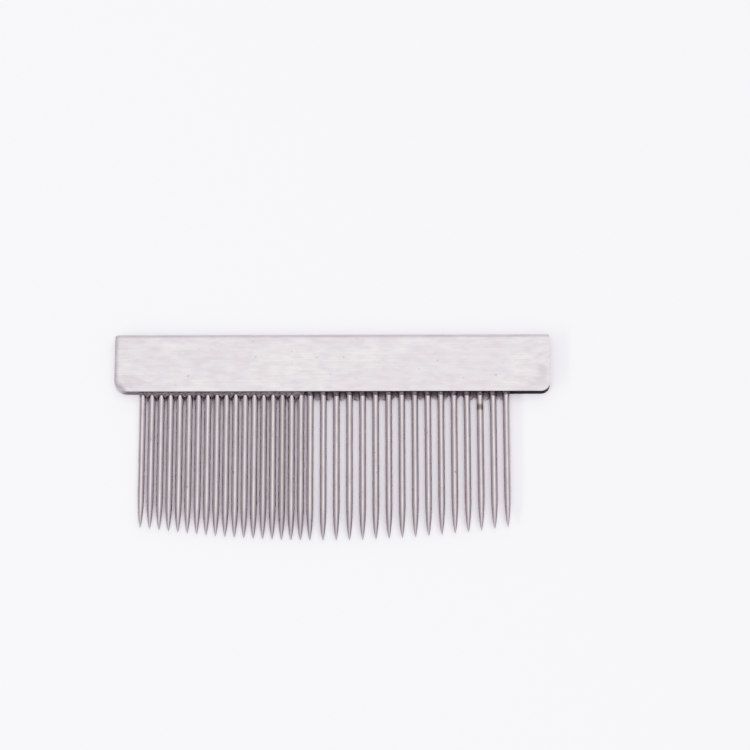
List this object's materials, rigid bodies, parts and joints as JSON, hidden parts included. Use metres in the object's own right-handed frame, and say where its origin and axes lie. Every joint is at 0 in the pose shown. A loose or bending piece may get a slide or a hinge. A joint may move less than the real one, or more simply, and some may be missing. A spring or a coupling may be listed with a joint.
{
  "type": "steel grooming comb",
  "caption": "Flat metal comb head: a folded sheet spine with one row of pointed round wire teeth, closely spaced along one half and wider along the other.",
  "frame": {"origin": "centre of the spine's flat back face, the face the comb lies on", "axes": "+X along the spine towards the widely spaced teeth, +Y across the spine from the open lip to the fold, so the teeth point to -Y, +Z out of the front face"},
  "size_m": [0.056, 0.028, 0.0016],
  "materials": {
    "spine_sheet": "satin",
    "tooth_wire": "polished",
    "solder": "satin"
  },
  "bodies": {
    "root": {"spine_channel": "spine_sheet", "solder_fill": "solder", "fine_tooth_01": "tooth_wire", "fine_tooth_02": "tooth_wire", "fine_tooth_03": "tooth_wire", "fine_tooth_04": "tooth_wire", "fine_tooth_05": "tooth_wire", "fine_tooth_06": "tooth_wire", "fine_tooth_07": "tooth_wire", "fine_tooth_08": "tooth_wire", "fine_tooth_09": "tooth_wire", "fine_tooth_10": "tooth_wire", "fine_tooth_11": "tooth_wire", "fine_tooth_12": "tooth_wire", "fine_tooth_13": "tooth_wire", "fine_tooth_14": "tooth_wire", "fine_tooth_15": "tooth_wire", "fine_tooth_16": "tooth_wire", "fine_tooth_17": "tooth_wire", "fine_tooth_18": "tooth_wire", "fine_tooth_19": "tooth_wire", "coarse_tooth_01": "tooth_wire", "coarse_tooth_02": "tooth_wire", "coarse_tooth_03": "tooth_wire", "coarse_tooth_04": "tooth_wire", "coarse_tooth_05": "tooth_wire", "coarse_tooth_06": "tooth_wire", "coarse_tooth_07": "tooth_wire", "coarse_tooth_08": "tooth_wire", "coarse_tooth_09": "tooth_wire", "coarse_tooth_10": "tooth_wire", "coarse_tooth_11": "tooth_wire", "coarse_tooth_12": "tooth_wire", "coarse_tooth_13": "tooth_wire", "coarse_tooth_14": "tooth_wire", "coarse_tooth_15": "tooth_wire"}
  },
  "joints": []
}
